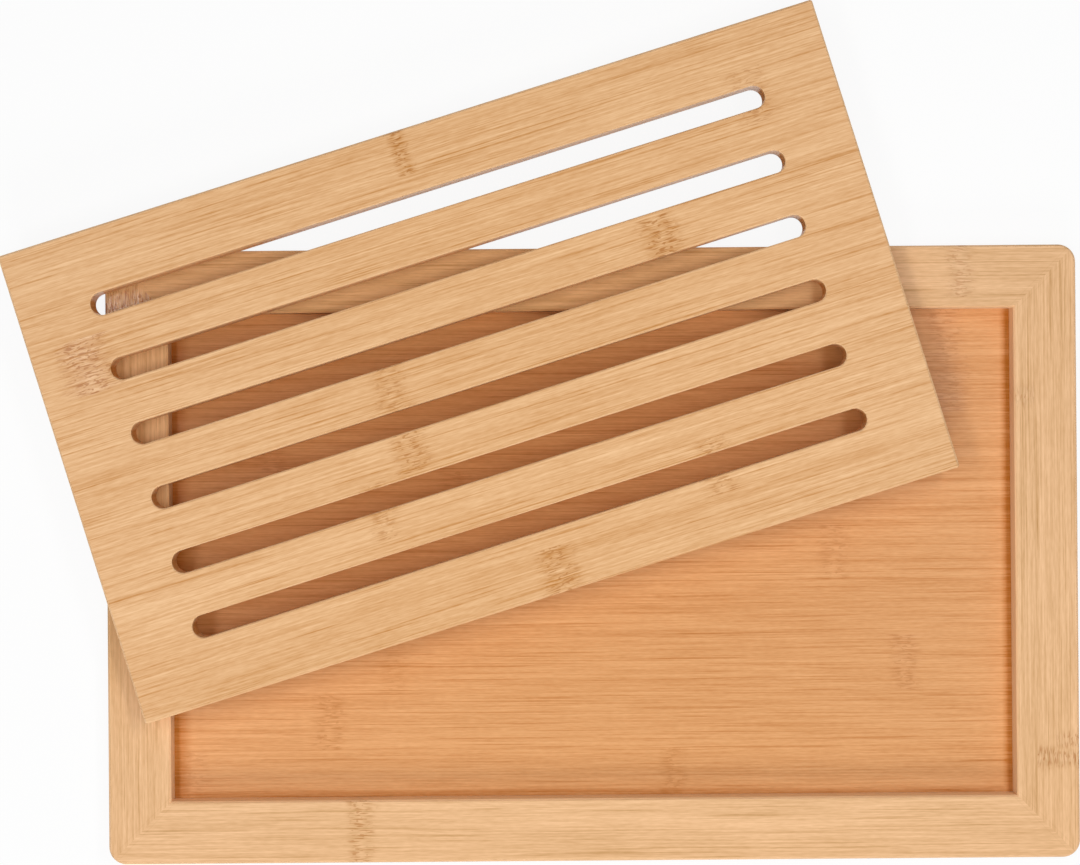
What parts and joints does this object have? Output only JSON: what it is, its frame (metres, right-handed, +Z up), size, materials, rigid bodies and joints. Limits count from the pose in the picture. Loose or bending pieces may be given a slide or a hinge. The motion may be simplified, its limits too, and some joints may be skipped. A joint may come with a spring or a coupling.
{
  "type": "bread board",
  "caption": "Bamboo bread board: a slotted rack that lies loose across a shallow mitred crumb tray, lifts off it and fits down inside its frame.",
  "frame": {"origin": "middle of the tray's underside, on the surface that it stands on", "axes": "+X along the rack's slots, which the tray's long side is turned from by 17.1 degrees clockwise seen from above; +Y from the near side to the far side; +Z up"},
  "size_m": [0.4756, 0.385, 0.03],
  "materials": {
    "rail_bamboo": "pale bamboo, fine straight fibres along each rail, sanded and lightly oiled",
    "panel_bamboo": "warmer orange bamboo, fine fibres along the tray, sanded and lightly oiled",
    "rack_bamboo": "golden bamboo, fine fibres along the slots, sanded and lightly oiled",
    "spline_bamboo": "unfinished bamboo, hidden in the mitres"
  },
  "bodies": {
    "tray": {"near_rail": "rail_bamboo", "far_rail": "rail_bamboo", "left_rail": "rail_bamboo", "right_rail": "rail_bamboo", "mitre_splines": "spline_bamboo", "panel_stave_1": "panel_bamboo", "panel_stave_2": "panel_bamboo", "panel_stave_3": "panel_bamboo", "panel_stave_4": "panel_bamboo", "panel_stave_5": "panel_bamboo", "panel_stave_6": "panel_bamboo", "panel_stave_7": "panel_bamboo", "panel_stave_8": "panel_bamboo", "panel_stave_9": "panel_bamboo"},
    "rack": {"rack_stave_1": "rack_bamboo", "rack_stave_2": "rack_bamboo", "rack_stave_3": "rack_bamboo", "rack_stave_4": "rack_bamboo", "rack_stave_5": "rack_bamboo", "rack_stave_6": "rack_bamboo", "rack_stave_7": "rack_bamboo", "rack_stave_8": "rack_bamboo", "rack_stave_9": "rack_bamboo"}
  },
  "joints": [
    {"name": "rack_lift", "type": "slide", "parent": "tray", "child": "rack", "axis": [0, 0, 1], "range_m": [0, 0.12]}
  ]
}
